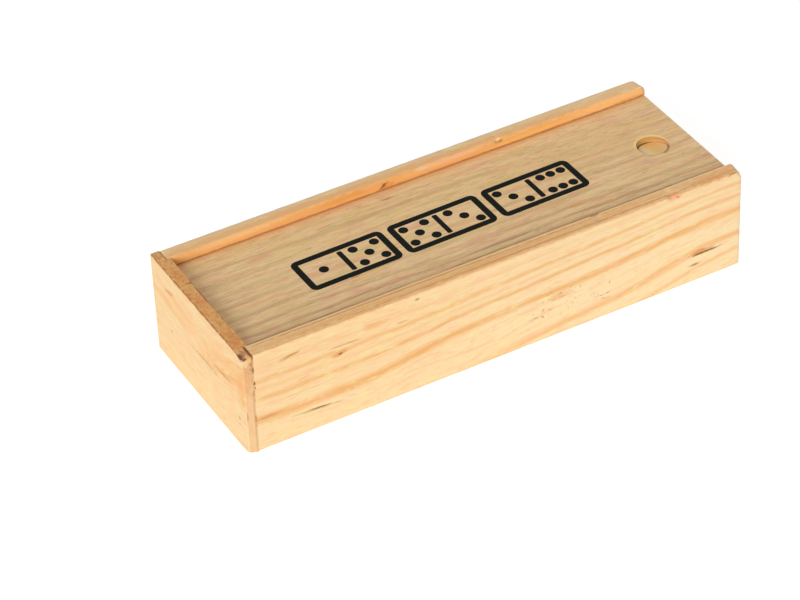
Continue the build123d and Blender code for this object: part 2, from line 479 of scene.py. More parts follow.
def pine(name, grain, early, late, settings, along="X", streaks=BOX_STREAKS, tones=(),
         marks=(), specks=(), seed=0.0, joint=False, extra=None):
    """Pine: tones, rings, fibres, resin ducts and the marks of one board, with painted highlights
    and shade among the marks.
    """
    finish = Finish(name)
    flow, rings = grain(finish)
    lengthways = along == "X"
    if lengthways:
        fibre_place = finish.joined(finish.x + seed, finish.y, flow)
    else:
        fibre_place = finish.joined(finish.x, finish.y + seed, flow)

    def stretched(along_scale, across_scale, detail=3.0, roughness=0.6, place=fibre_place):
        scales = (along_scale, across_scale, across_scale)
        if not lengthways:
            scales = (across_scale, along_scale, across_scale)
        return finish.noise(finish.scaled(place, *scales), detail, roughness)

    fibres = stretched(0.09, 3.4)
    broad = stretched(0.022, 0.75, detail=4.0)
    slow = stretched(0.03, 0.09)
    grit = finish.noise(finish.scaled(finish.place, 1.6, 1.6, 1.6), detail=3.0, roughness=0.7)
    finish.ragged = (stretched(0.5, 1.7, detail=3.0) - 0.5) * 1.5

    for centre, size, code, strength in tones:
        early = finish.mix(spot(finish, centre, size) * strength, early, linear(code))
    rings = (rings * (0.5 + broad)).at_most(1.0)
    base = finish.mix(rings, early, late)
    for number, (long_scale, cross_scale, threshold, code, strength) in enumerate(streaks):
        shifted = finish.node(
            "ShaderNodeVectorMath", {"operation": "ADD"},
            {0: fibre_place, 1: (37.0 * number, 91.0 * number, 53.0 * number)})
        streak = stretched(long_scale, cross_scale, 4.0, 0.6, shifted)
        mask = finish.step(streak, threshold, threshold + 0.16)
        base = finish.mix(mask * strength, base, linear(code))
    base = finish.mix(finish.step(fibres, 0.5, 0.85) * 0.45, base, late)
    base = finish.mix(finish.step(fibres, 0.5, 0.2) * 0.3, base, linear("FBE6BE"))

    ducts = finish.step(stretched(0.24, 5.0, detail=0.0), 0.76, 0.84)
    ducts = ducts * finish.step(slow, 0.5, 0.62)
    base = finish.mix(ducts * 0.38, base, settings.resin)

    normal = finish.node("ShaderNodeTexCoord", output="Normal")
    end = finish.step(abs(finish.parts(normal)[0 if lengthways else 1]), 0.6, 0.95)
    base = finish.mix(end * 0.6, base, settings.end_grain)
    base = finish.mix(end * rings * 0.5, base, linear("D79A5E"))

    # the marks, with painted highlights and shade among them
    for centre, size, slope, code, strength in marks:
        base = finish.mix(spot(finish, centre, size, slope) * strength, base, linear(code))
    base = finish.mix(finish.step(grit, 0.54, 0.85) * 0.3, base, late)
    if specks:
        dots = finish.noise(finish.scaled(finish.place, 1.5, 1.5, 2.0), detail=1.0)
        dots = finish.step(dots, 0.6, 0.72)
        for centre, size in specks:
            base = finish.mix(dots * spot(finish, centre, size) * 0.6, base, linear("865A2E"))

    if joint:
        wobble = finish.noise(finish.joined(0.0, finish.y * 0.5, finish.z * 0.16), detail=3.0)
        line = abs(finish.x - LIP_INNER - (wobble - 0.5) * 0.9)
        patch = finish.noise(finish.scaled(finish.place, 0.25, 0.25, 0.55), detail=1.0)
        outside = finish.step(abs(finish.y), INNER_FACE - 0.2, INNER_FACE + 0.2)
        seam = (1 - finish.step(line, 0.1, 0.5)) * outside
        seam = seam * (0.3 + 0.35 * finish.step(patch, 0.45, 0.6))
        base = finish.mix(seam, base, linear("B9743F"))

    if extra:
        base = extra(finish, base)
    height = fibres * 0.5 + rings * 0.35 + grit * 0.3 - ducts
    roughness = 0.62 + (grit - 0.5) * 0.16 - rings * 0.06
    return finish.surface(base, roughness, height, 0.08)


# Tones of the pale wood: centre, half sizes, colour and strength
FRONT_TONES = (
    ((-60.0, -25, 25.0), (60.0, 2.0, 14.0), "FCD096", 0.6),
    ((40.0, -25, 10.0), (60.0, 2.0, 12.0), "FDE3B6", 0.5),
    ((62.0, -25, 18.0), (14.0, 2.0, 3.0), "FACB92", 0.5),
)
END_TONES = (
    ((-72.5, -18.0, 20.5), (2.0, 20.0, 6.5), "FBBF80", 0.65),
    ((-72.5, 9.0, 22.0), (2.0, 12.0, 4.5), "FAC48C", 0.6),
    ((-72.5, -24.0, 20.5), (2.0, 3.5, 8.0), "F3B26E", 0.6),
)
LID_TONES = (
    ((45.0, 8.0, 27.0), (45.0, 9.0, 2.0), "EFC386", 0.5),
    ((-20.0, 12.0, 27.0), (50.0, 6.0, 2.0), "F6D08F", 0.4),
    ((0.0, -16.5, 27.0), (90.0, 5.0, 2.0), "F8D29E", 0.6),
)

# Marks on the boards, with painted highlights and shade among them: centre, half sizes, slope,
# colour and strength
FRONT_MARKS_AND_HIGHLIGHT = (
    ((-46.3, -25, 20.8), (2.6, 1.5, 0.9), 0.1, "E3975A", 0.7),
    ((-45.9, -25, 20.7), (0.8, 1.0, 0.4), 0.1, "7A4B22", 0.75),
    ((-60.0, -25, 25.9), (3.2, 1.0, 0.7), 0.15, "DE9F62", 0.6),
    ((-59.4, -25, 26.0), (2.2, 1.0, 0.3), 0.15, "A8743C", 0.6),
    ((-36.0, -25, 25.5), (4.5, 1.0, 1.0), -0.05, "F0B174", 0.6),
    ((-44.5, -25, 23.1), (5.0, 1.0, 0.3), -0.02, "BE8750", 0.6),
    ((-28.5, -25, 23.2), (2.2, 1.0, 0.35), 0.0, "C49660", 0.55),
    ((-53.2, -25, 6.4), (8.5, 1.0, 0.4), -0.06, "C09058", 0.55),
    ((-52.4, -25, 6.6), (3.6, 1.0, 0.26), -0.06, "63491F", 0.75),
    ((-66.5, -25, 9.9), (4.2, 1.0, 0.45), 0.0, "CC8A48", 0.6),
    ((60.3, -25, 9.0), (4.0, 1.0, 1.0), 0.02, "D98B4A", 0.8),
    ((61.8, -25, 8.5), (5.0, 1.0, 0.4), 0.02, "5C3C1F", 0.8),
    ((58.6, -25, 5.6), (2.0, 1.0, 0.4), 0.02, "75613D", 0.7),
    ((16.8, -25, 12.4), (3.4, 1.0, 1.3), 0.0, "E8A968", 0.55),
    ((51.6, -24.6, 29.9), (3.0, 1.7, 1.1), -0.1, "F2A476", 0.8),
    ((52.6, -25, 29.5), (1.0, 0.9, 0.35), -0.4, "B5683A", 0.6),
    ((-24.0, -25, 28.5), (0.8, 1.0, 0.5), 0.0, "94704A", 0.6),
    ((0, -22.6, 30.5), (200, 3.2, 1.0), 0.0, "EDB06A", 0.7),
    # painted highlight along the front rail's inner top edge, whose bevel faces away from the key
    # lamp
    ((0, -20.7, 30.0), (200, 0.45, 0.6), 0.0, "F8D49E", 0.6),
    ((-20, -21.5, 30.1), (60, 0.35, 0.5), 0.0, "C48E50", 0.6),
    ((15, -23.6, 30.0), (75, 0.4, 0.5), 0.0, "CB8443", 0.55),
    ((15, -24.7, 30.0), (75, 0.5, 0.5), 0.0, "F0B67A", 0.5),
    ((65.0, -23.4, 29.9), (9.0, 1.6, 0.7), 0.0, "E7A264", 0.6),
    ((69.9, -24.4, 29.6), (2.6, 0.45, 0.5), 0.0, "9A5A2A", 0.75),
    ((72.2, -21.8, 29.0), (0.8, 1.8, 1.1), 0.0, "A3A18A", 0.6),
    ((-69.78, -22.6, 30.0), (0.34, 3.0, 0.5), 0.0, "3E230D", 0.95),
    ((-69.75, -25, 29.4), (0.25, 1.0, 0.6), 0.0, "5A3A1C", 0.7),
    ((-69.80, -25, 25.8), (0.28, 1.0, 1.2), 0.0, "44290F", 0.85),
    ((-69.70, -25, 21.6), (0.28, 1.0, 0.8), 0.0, "44290F", 0.85),
    ((-69.60, -25, 20.1), (0.25, 1.0, 0.4), 0.0, "44290F", 0.8),
)
FRONT_SPECKS = (
    ((11.5, -25, 8.6), (4.2, 1.0, 2.0)),
    ((21.0, -25, 9.2), (2.8, 1.0, 2.0)),
    ((29.5, -25, 7.2), (4.0, 1.0, 1.6)),
    ((33.0, -25, 10.5), (1.6, 1.0, 1.2)),
    ((17.0, -25, 13.0), (8.0, 1.0, 1.6)),
)
BACK_MARKS_AND_SHADE = (
    ((-20, 21.4, 30.0), (95, 2.3, 1.0), 0.0, "EEB477", 0.8),
    ((0, 25.0, 29.8), (220, 1.0, 0.8), 0.0, "DCC8A8", 0.6),
    ((0, 20.5, 28.4), (220, 0.9, 3.2), 0.0, "E7A052", 0.8),
    ((-50, 20.6, 29.3), (16, 0.9, 0.9), 0.02, "F2BE7E", 0.7),
    ((-18, 20.6, 29.2), (9, 0.9, 0.9), 0.03, "E08E40", 0.55),
    ((12, 20.6, 29.4), (13, 0.9, 0.9), 0.02, "F0B688", 0.7),
    ((36, 20.5, 28.2), (16, 0.8, 0.7), 0.02, "F2B864", 0.6),
    ((62, 20.5, 28.8), (16, 0.9, 1.6), 0.0, "F4BC7A", 0.7),
    ((66, 20.5, 28.0), (6, 0.8, 0.4), 0.03, "DC9A58", 0.6),
    ((-7.5, 20.5, 28.6), (1.6, 0.8, 0.7), 0.5, "7A4A22", 0.85),
    ((-6.5, 20.5, 27.9), (2.6, 0.8, 0.9), 0.3, "E08B3E", 0.8),
    ((27.0, 20.5, 29.4), (1.3, 0.8, 0.5), 0.0, "8A5A2C", 0.7),
    ((4.0, 20.7, 29.6), (2.6, 0.8, 0.5), 0.0, "E9C9A0", 0.6),
    # painted shade along the foot of the back rail's inner face, just above the lid
    ((0, 20.5, 27.35), (220, 0.8, 0.45), 0.0, "A9642C", 0.75),
)
END_MARKS_AND_SHADE = (
    ((-70.6, 0, 30.4), (3.6, 60, 1.3), 0.0, "E09A4C", 0.85),
    ((-70.6, -17.0, 30.0), (2.0, 4.0, 0.8), 0.0, "D2833F", 0.6),
    ((-70.2, -8.0, 30.0), (1.8, 3.0, 0.8), 0.0, "D9A662", 0.6),
    ((-70.8, 1.0, 30.0), (1.8, 3.0, 0.8), 0.0, "DC8F55", 0.6),
    ((-70.4, 7.5, 30.0), (1.8, 2.2, 0.8), 0.0, "DDAA60", 0.6),
    ((-70.4, 13.0, 30.0), (1.6, 3.0, 0.8), 0.0, "D58E48", 0.6),
    ((-71.0, 20.0, 30.0), (1.8, 2.0, 0.8), 0.0, "E2A470", 0.6),
    ((-72.0, 24.0, 30.0), (1.2, 1.5, 0.5), 0.0, "A5957C", 0.6),
    ((-72.4, -3, 30.0), (0.28, 42, 0.28), 0.0, "74431A", 0.7),
    ((-72.5, 15.0, 24.2), (1.0, 2.6, 0.6), -0.2, "C08C54", 0.5),
    ((-72.5, -2.5, 14.9), (1.0, 8.5, 0.45), 0.0, "C9955C", 0.55),
    ((-72.5, -13.5, 17.6), (1.0, 6.5, 0.5), -0.1, "C28C54", 0.55),
    ((-72.5, 15.8, 11.4), (1.0, 0.8, 0.6), 0.0, "B5915F", 0.5),
    ((-72.5, -21.0, 9.2), (1.0, 0.6, 0.7), 0.0, "A07C4C", 0.55),
    ((-71.25, -25.1, 25.5), (1.9, 0.8, 6.5), 0.0, "E9AF76", 0.8),
    ((-71.25, -25.1, 13.0), (1.9, 0.8, 7.0), 0.0, "F2C392", 0.6),
    ((-71.6, -25.1, 28.4), (0.7, 0.8, 1.3), 0.0, "F6D3A0", 0.7),
    ((-72.2, -25.1, 12.0), (0.25, 0.8, 1.3), 0.0, "A97A4C", 0.6),
    ((-72.4, -24.1, 29.9), (1.0, 2.0, 0.9), 0.0, "5A2A16", 0.95),
    ((-72.0, -24.9, 29.8), (1.0, 0.7, 0.8), 0.0, "5E3018", 0.95),
    ((-71.3, -22.6, 30.0), (0.9, 1.5, 0.5), 0.0, "A5715A", 0.65),
    # painted shade on the closed end's inner top edge, where the lid meets it
    ((-68.85, 3.6, 29.9), (0.4, 7.8, 0.7), 0.0, "4E2C10", 0.9),
    ((-68.85, -6.5, 29.9), (0.35, 6.5, 0.7), 0.0, "7A4A20", 0.6),
    ((-69.9, 9.0, 30.0), (1.3, 0.35, 0.5), 0.0, "6A3F1C", 0.65),
    ((-70.1, -22.7, 30.0), (0.2, 2.6, 0.5), 0.0, "4A2A10", 0.8),
)
END_SPECKS = (
    ((-71.2, -25, 27.5), (1.6, 1.0, 3.0)),
)
LID_MARKS_AND_LIGHT = (
    ((-31.5, -7.0, 27.0), (1.6, 0.7, 0.6), 0.0, "C4813F", 0.75),
    ((31.0, -11.2, 27.0), (2.6, 1.0, 0.6), 0.0, "DFA060", 0.6),
    ((-9.0, 17.0, 27.0), (2.0, 0.45, 0.6), 0.0, "8F6E48", 0.6),
    ((6.0, -14.6, 27.0), (12.0, 0.5, 0.6), 0.0, "95795A", 0.5),
    ((-55.0, -17.2, 27.0), (17.0, 0.6, 0.6), 0.0, "90765A", 0.55),
    ((48.0, -17.4, 27.0), (20.0, 0.6, 0.6), 0.0, "957850", 0.5),
    ((-45.0, -18.6, 27.0), (28.0, 0.4, 0.6), 0.0, "A0643A", 0.5),
    ((20.0, -18.9, 27.0), (40.0, 0.4, 0.6), 0.0, "9C6A3C", 0.45),
    # painted light: a pale band on the lid beside the front rail that lifts the rail's shade
    ((0, -19.9, 27.0), (110.0, 1.4, 0.6), 0.0, "FADCAA", 0.6),
    ((0, 19.9, 27.0), (90.0, 0.9, 0.6), 0.0, "F0B478", 0.5),
)


def end_top(finish, base):
    """The sawn top of the closed end, mottled and grainy."""
    top = finish.step(finish.z, BOX_TOP - 0.4, BOX_TOP - 0.05)
    top = top * finish.step(finish.y, -22.5, -21.0)
    cloud = finish.noise(finish.scaled(finish.place, 0.9, 0.7, 0.5), detail=5.0, roughness=0.8)
    base = finish.mix(top * finish.step(cloud, 0.5, 0.62) * 0.65, base, linear("C47038"))
    return finish.mix(top * finish.step(cloud, 0.5, 0.38) * 0.6, base, linear("E8BC6E"))


# The thumb notch, as its round cutter stands where it stops
NOTCH_RADIUS = 4.3
NOTCH_TILT = math.radians(12.5)
NOTCH_X = OPEN_FACE - 11.0
NOTCH_Z = LID_TOP - 0.8


def notch_wood_and_painted_light(finish, base):
    """The freshly cut wood of the thumb notch, with painted light and shade: floor tones, a wall
    painted against its lighting, shade in the crease and an arc, and a highlight on the rim.
    """
    x, y, z = finish.x - NOTCH_X, finish.y, finish.z - NOTCH_Z
    above = y * math.sin(NOTCH_TILT) + z * math.cos(NOTCH_TILT)
    out = (x * x + y * y + z * z - above * above).at_least(0).root() - NOTCH_RADIUS
    depth = LID_TOP - finish.z
    left = 1 - finish.step(x, -0.5, 3.0)
    inside = finish.step(depth, 0.03, 0.1) * (1 - finish.step(out, 0.1, 0.5))
    # floor tones with painted light: paler at the left to lift the shade there, and a painted
    # highlight at the right
    floor = finish.step(x + finish.ragged, -2.5, 0.0)
    floor = finish.mix(floor, linear("FFE2A6"), linear("FFC670"))
    floor = finish.mix(finish.step(x + finish.ragged, 1.0, 3.0) * 0.8, floor, linear("FFCE96"))
    base = finish.mix(inside * 0.85, base, floor)
    # painted light on the wall: lighter at the left, where the rim shades it, and darker at the
    # right, where the lamp lights it
    wall = inside * finish.step(above, 0.1, 0.5)
    base = finish.mix(wall * 0.85, base, finish.mix(left, linear("A8783C"), linear("BE8E4E")))
    # painted shade in the crease between wall and floor, darkest at the left
    crease_shade = inside * (1 - finish.step(above, 0.1, 0.45)) * finish.step(out, -0.6, -0.2)
    base = finish.mix(crease_shade * 0.85, base, finish.mix(left, linear("C69254"), linear("6A4518")))
    # painted highlight: a pale rim round the back of the notch
    rim = (1 - finish.step(depth, 0.02, 0.06)) * finish.step(out, -0.1, 0.05)
    rim = rim * (1 - finish.step(out + finish.ragged * 0.4, 0.4, 0.8))
    base = finish.mix(rim * finish.step(y, -1, 3) * 0.9, base, linear("FFDB92"))
    # painted shade: a dark arc inside the rim at the front right
    arc_shade = finish.step(out + finish.ragged * 0.3, -0.7, -0.3) * (1 - finish.step(out, 0.0, 0.3))
    arc_shade = arc_shade * (1 - finish.step(y, -2.2, -0.4)) * finish.step(x, 0.0, 1.6)
    return finish.mix(arc_shade * 0.65, base, linear("8A5F28"))


# ---------------------------------------------------------------------------
# Modelling helpers


def deselect():
    bpy.ops.object.select_all(action="DESELECT")


def dress(piece, material):
    """Gives a piece one material."""
    piece.data.materials.clear()
    piece.data.materials.append(material)


def pick(kind, test):
    """Selects just the edges, faces or vertices of the edited mesh that pass a test."""
    bpy.ops.mesh.select_mode(type=kind)
    bpy.ops.mesh.select_all(action="DESELECT")
    mesh = bpy.context.edit_object.data
    shape = bmesh.from_edit_mesh(mesh)
    for part in {"EDGE": shape.edges, "FACE": shape.faces, "VERT": shape.verts}[kind]:
        part.select_set(bool(test(part)))
    shape.select_flush_mode()
    bmesh.update_edit_mesh(mesh)


def middle(part):
    """The middle of an edge or a face, in millimetres."""
    total = Vector((0, 0, 0))
    for vert in part.verts:
        total += vert.co
    return total / len(part.verts) / MM


def run(edge):
    """How far an edge goes along each axis, in millimetres."""
    return Vector(abs(d) / MM for d in (edge.verts[1].co - edge.verts[0].co))


def cut(axis, place):
    """Cuts the whole edited mesh across an axis at a place in millimetres."""
    bpy.ops.mesh.select_all(action="SELECT")
    normal = [0.0, 0.0, 0.0]
    normal[axis] = 1.0
    bpy.ops.mesh.bisect(plane_co=[n * place * MM for n in normal], plane_no=normal)


def settle():
    """Moves the place, turn and size of the active object into its mesh."""
    bpy.ops.object.transform_apply(location=True, rotation=True, scale=True)


# Clouds that wear the edges: size in millimetres, share of the depth and contrast
WEAR_CLOUDS = ((7.0, 0.8, 1.2), (1.7, 0.9, 2.2), (0.7, 0.5, 1.6))


def wear(piece, depth, seed):
    """Rounds and dents the outer edges: vertices whose normals lean are pushed in unevenly."""
    group = piece.vertex_groups.new(name="edges")
    for vertex in piece.data.vertices:
        lean = 1 - max(abs(n) for n in vertex.normal)
        x, y, z = vertex.co / MM
        outside = z > BOX_TOP - 1 or z < 1 or abs(y) > OUTER_FACE - 1 or x > OPEN_FACE - 1.5
        joint = abs(x - LIP_INNER) < 0.3 and z < BOX_TOP - 1
        if lean > 0.02 and outside and not joint:
            group.add([vertex.index], min(1.0, lean / 0.25), "REPLACE")
    for number, (size, share, contrast) in enumerate(WEAR_CLOUDS):
        cloud = bpy.data.textures.new(f"{piece.name} wear {number}", "CLOUDS")
        cloud.noise_scale = size * MM * (1 + 0.07 * seed)
        cloud.noise_depth = 2
        cloud.contrast = contrast
        push = piece.modifiers.new(f"wear {number}", "DISPLACE")
        push.texture = cloud
        push.texture_coords = "LOCAL"
        push.direction = "NORMAL"
        push.vertex_group = "edges"
        push.strength = -depth * share * MM
        push.mid_level = 0.0
        bpy.ops.object.modifier_apply(modifier=push.name)
    piece.vertex_groups.clear()


def dent(at, radius, push):
    """Presses the edited mesh in by push round a place, all in millimetres."""
    place = Vector(at) * MM
    shape = bmesh.from_edit_mesh(bpy.context.edit_object.data)
    nearest = min(shape.verts, key=lambda vert: (vert.co - place).length)
    index = nearest.index
    pick("VERT", lambda vert: vert.index == index)
    bpy.ops.transform.translate(
        value=[p * MM for p in push], use_proportional_edit=True,
        proportional_edit_falloff="SMOOTH", proportional_size=radius * MM)


def finish_mesh(piece):
    """Smooth shading on the worn edges that leaves the broad faces flat."""
    bpy.ops.object.shade_smooth_by_angle(angle=math.radians(32))
    flat = piece.modifiers.new("flat faces", "WEIGHTED_NORMAL")
    flat.keep_sharp = True
    flat.weight = 100
    bpy.ops.object.modifier_apply(modifier=flat.name)


# Bevels of the boards' edges and the depth of their wear, in millimetres
RAIL_ROUNDING = 1.3
OUTER_EDGE = 0.4
CLOSED_END_EDGE = 0.22
WALL_WEAR = 0.13
CLOSED_END_WEAR = 0.04


def model_wall(name, side, inner_edge, dents):
    """A long board: its section is cut from a plane, drawn out, rounded and worn."""
    deselect()
    bpy.ops.mesh.primitive_plane_add(
        size=1, rotation=(0, math.pi / 2, 0),
        location=(LIP_INNER * MM, side * (OUTER_FACE + INNER_FACE) / 2 * MM, BOX_HIGH.z / 2))
    wall = bpy.context.active_object
    wall.name = name
    wall.scale = (BOX_HIGH.z, (OUTER_FACE - INNER_FACE) * MM, 1)
    settle()
    bpy.ops.object.mode_set(mode="EDIT")
    for z in (GROOVE_FLOOR, GROOVE_ROOF, BOTTOM_TOP):
        cut(2, z)
    for y in (GROOVE_WALL, BOTTOM_EDGE):
        cut(1, side * y)

    def hollow(face):
        at = middle(face)
        groove = abs(at.y) < GROOVE_WALL and GROOVE_FLOOR < at.z < GROOVE_ROOF
        return groove or (abs(at.y) < BOTTOM_EDGE and at.z < BOTTOM_TOP)

    pick("FACE", hollow)
    bpy.ops.mesh.delete(type="FACE")
    bpy.ops.mesh.select_all(action="SELECT")
    bpy.ops.mesh.dissolve_limited(angle_limit=math.radians(1))
    bpy.ops.mesh.extrude_region_move(
        TRANSFORM_OT_translate={"value": ((OPEN_FACE - LIP_INNER) * MM, 0, 0)})
    bpy.ops.mesh.select_all(action="SELECT")
    bpy.ops.mesh.normals_make_consistent(inside=False)

    pick("EDGE", lambda e: run(e).y > 3 and middle(e).x > OPEN_FACE - 1
         and middle(e).z > BOX_TOP - 1)
    bpy.ops.mesh.bevel(offset=RAIL_ROUNDING * MM, segments=5, profile=0.5, affect="EDGES")

    def outline(edge):
        at, size = middle(edge), run(edge)
        high = at.z > BOX_TOP - 1.5 and size.y < NEAR and abs(abs(at.y) - OUTER_FACE) < NEAR
        low = at.z < NEAR and size.x > 3 and abs(abs(at.y) - OUTER_FACE) < NEAR
        upright = at.x > OPEN_FACE - NEAR and size.z > 3 and abs(abs(at.y) - OUTER_FACE) < NEAR
        return (high or low or upright) and at.x > LIP_INNER + 0.5

    def inside(edge):
        at = middle(edge)
        straight = run(edge).y < NEAR and at.x > LIP_INNER + 0.5
        return straight and at.z > BOX_TOP - 1.5 and abs(abs(at.y) - INNER_FACE) < NEAR

    pick("EDGE", outline)
    bpy.ops.mesh.bevel(offset=OUTER_EDGE * MM, segments=4, profile=0.5, affect="EDGES")
    pick("EDGE", inside)
    bpy.ops.mesh.bevel(offset=inner_edge * MM, segments=4, profile=0.5, affect="EDGES")
    for z in (1.5, BOX_TOP - 2.0):
        cut(2, z)
    pick("EDGE", lambda e: run(e).x > 50)
    bpy.ops.mesh.subdivide(number_cuts=99)
    pick("EDGE", lambda e: run(e).x > 0.9 and run(e).y < NEAR and run(e).z < NEAR)
    bpy.ops.mesh.subdivide(number_cuts=1)
    for at, radius, push in dents:
        dent(at, radius, push)
    bpy.ops.object.mode_set(mode="OBJECT")
    wear(wall, WALL_WEAR, 1 + side)
    finish_mesh(wall)
    return wall


def model_closed_end(name, dents):
    """The closed end: a block whose inner face is drawn out between the long walls."""
    deselect()
    bpy.ops.mesh.primitive_cube_add(
        size=1, location=((LIP_INNER * MM + BOX_LOW.x) / 2, 0, BOX_HIGH.z / 2))
    board = bpy.context.active_object
    board.name = name
    board.scale = (LIP_INNER * MM - BOX_LOW.x, BOX_HIGH.y - BOX_LOW.y, BOX_HIGH.z)
    settle()
    bpy.ops.object.mode_set(mode="EDIT")
    for y in (-INNER_FACE, INNER_FACE):
        cut(1, y)
    for z in (BOTTOM_TOP, GROOVE_FLOOR, GROOVE_ROOF):
        cut(2, z)

    def between(face):
        at = middle(face)
        level = BOTTOM_TOP < at.z < GROOVE_FLOOR or at.z > GROOVE_ROOF
        return at.x > LIP_INNER - NEAR and abs(at.y) < INNER_FACE and level

    for low in (True, False):
        pick("FACE", lambda f, low=low: between(f) and (middle(f).z < GROOVE_FLOOR) == low)
        bpy.ops.mesh.extrude_region_move(
            TRANSFORM_OT_translate={"value": ((CLOSED_INSIDE - LIP_INNER) * MM, 0, 0)})

    def outline(edge):
        at = middle(edge)
        outer = at.x < CLOSED_FACE + NEAR
        rim = abs(abs(at.y) - OUTER_FACE) < NEAR or at.z > BOX_TOP - NEAR or at.z < NEAR
        inner = at.x > LIP_INNER + 1 and at.z > BOX_TOP - NEAR
        return (outer and rim) or inner

    pick("EDGE", outline)
    bpy.ops.mesh.bevel(offset=CLOSED_END_EDGE * MM, segments=3, profile=0.5, affect="EDGES")
    for axis in (1, 2):
        for _ in range(5):
            pick("EDGE", lambda e, axis=axis: run(e)[axis] > 1.1
                 and sum(run(e)) - run(e)[axis] < 0.05)
            bpy.ops.mesh.subdivide(number_cuts=1)
    for at, radius, push in dents:
        dent(at, radius, push)
    bpy.ops.object.mode_set(mode="OBJECT")
    wear(board, CLOSED_END_WEAR, 3)
    finish_mesh(board)
    return board


# ---------------------------------------------------------------------------
# Operators


def put_in_place(piece, body, node):
    """Lets a piece ride on its body and stand for its node."""
    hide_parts(node)
    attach(piece, body)


class DOMINOBOX_OT_boards(bpy.types.Operator):
    """Model the long walls and the closed end with worn edges, in pine"""

    bl_idname = "domino_box.boards"
    bl_label = "Model Boards"

    def execute(self, context):
        settings = context.scene.domino_box.pine
        early, late = settings.early_wood, settings.late_wood
        front = model_wall("front_wall", -1, 0.15, (
            ((51.6, -25, 30), 1.6, (0, 0.4, -0.4)),
            ((72.5, -25, 29), 1.6, (-0.5, 0.2, 0)), ((30, -20.5, 30), 1.8, (0, -0.3, -0.3))))
        dress(front, pine("Pine front wall", front_grain, early, late, settings,
                          tones=FRONT_TONES, marks=FRONT_MARKS_AND_HIGHLIGHT, specks=FRONT_SPECKS,
                          joint=True))
        put_in_place(front, "box", "side_wall_front")
        back = model_wall("back_wall", 1, 0.9, (
            ((72.5, 25, 29.5), 2.2, (-0.3, -0.4, -0.2)), ((27, 20.5, 30), 1.2, (0, 0.3, -0.4)),
            ((-7.5, 20.5, 29), 1.0, (0, 0.3, -0.2))))
        dress(back, pine("Pine back wall", round_grain((-24.0, 66.0), 4.2, 9.0), linear("EDC896"),
                         late, settings, marks=BACK_MARKS_AND_SHADE, seed=310.0, joint=True))
        put_in_place(back, "box", "side_wall_back")
        closed = model_closed_end("closed_end", (
            ((-72.5, -25, 30), 1.4, (0.4, 0.5, -0.4)), ((-72.5, -25, 0), 1.6, (0.3, 0.4, 0.3))))
        dress(closed, pine("Pine closed end", left_grain, linear("F7D5A2"), late, settings,
                           along="Y", tones=END_TONES, marks=END_MARKS_AND_SHADE, specks=END_SPECKS,
                           seed=90.0, joint=True, extra=end_top))
        put_in_place(closed, "box", "end_board_closed")
        nodes = frame["nodes"]
        dress(nodes["end_board_open"], pine(
            "Pine open end", left_grain, early, late, settings, along="Y", seed=570.0))
        dress(nodes["bottom_panel"], pine(
            "Pine bottom", round_grain((9.0, -38.0), 3.4, 6.0), early, late, settings, seed=740.0))
        return {"FINISHED"}


class DOMINOBOX_OT_lid(bpy.types.Operator):
    """Finish the lid in streaky pine"""

    bl_idname = "domino_box.lid"
    bl_label = "Finish Lid"

    def execute(self, context):
        settings = context.scene.domino_box.pine
        dress(frame["nodes"]["lid"], pine(
            "Pine lid", lid_grain, settings.lid_early, settings.lid_late, settings,
            streaks=LID_STREAKS, tones=LID_TONES, marks=LID_MARKS_AND_LIGHT, seed=1200.0,
            extra=notch_wood_and_painted_light))
        return {"FINISHED"}


# Tiles, in millimetres
TILE_GAP = 0.5  # between neighbouring columns
TILE_SHIFT = 0.15  # how far a tile may be off its column
PAINT_DEPTH = 0.55  # paint ends here, just under the pips' floors
PAINT_ACROSS = 7.5  # from a tile's middle to where paint ends, across the tile
PAINT_ALONG = 16.7  # and along it


class DOMINOBOX_OT_tiles(bpy.types.Operator):
    """Finish the tiles in sealed wood, with painted pips and dividing lines"""

    bl_idname = "domino_box.tiles"
    bl_label = "Finish Tiles"

    def execute(self, context):
        settings = context.scene.domino_box.tiles
        finish = Finish("Tile wood")
        low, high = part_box("tile_0_0")
        width, thickness = (high.x - low.x) / MM, (high.z - low.z) / MM
        names = [n for n in frame["nodes"] if n.startswith("tile_")]
        start = min(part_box(n)[0].x for n in names) / MM + TILE_SHIFT
        floor = min(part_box(n)[0].z for n in names) / MM
        pitch = width + TILE_GAP
        column = math.floor((finish.x - start + TILE_GAP / 2) / pitch)
        layer = math.floor((finish.z - floor + NEAR) / thickness)
        own = finish.random(finish.joined(column, layer, 3.0))
        across = abs(finish.x - start - (column + 0.5) * pitch + TILE_GAP / 2)
        below = (layer + 1) * thickness + floor - finish.z
        place = finish.joined(finish.x + own * 300, finish.y, finish.z + own * 170)
        streaks = finish.noise(finish.scaled(place, 0.6, 0.03, 0.6), detail=4.0, roughness=0.6)
        fibres = finish.noise(finish.scaled(place, 3.4, 0.12, 3.4), detail=2.0)
        base = finish.mix(finish.step(streaks, 0.42, 0.72) * 0.8, settings.wood, settings.streak)
        base = finish.mix(finish.step(fibres, 0.45, 0.8) * 0.35, base, settings.streak)
        base = finish.mix(own * 0.25, base, linear("F3DFB8"))
        sunk = 1 - finish.step(below, PAINT_DEPTH, PAINT_DEPTH + 0.05)
        inner = 1 - finish.step(across, PAINT_ACROSS - 0.1, PAINT_ACROSS + 0.1)
        inner = inner * (1 - finish.step(abs(finish.y), PAINT_ALONG - 0.1, PAINT_ALONG + 0.1))
        paint = finish.step(below, 0.02, 0.06) * sunk * inner
        base = finish.mix(paint, base, settings.paint)
        roughness = 0.42 + 0.2 * fibres - paint * 0.12
        material = finish.surface(base, roughness, fibres, 0.03, specular=0.5)
        for name in names:
            dress(frame["nodes"][name], material)
        return {"FINISHED"}


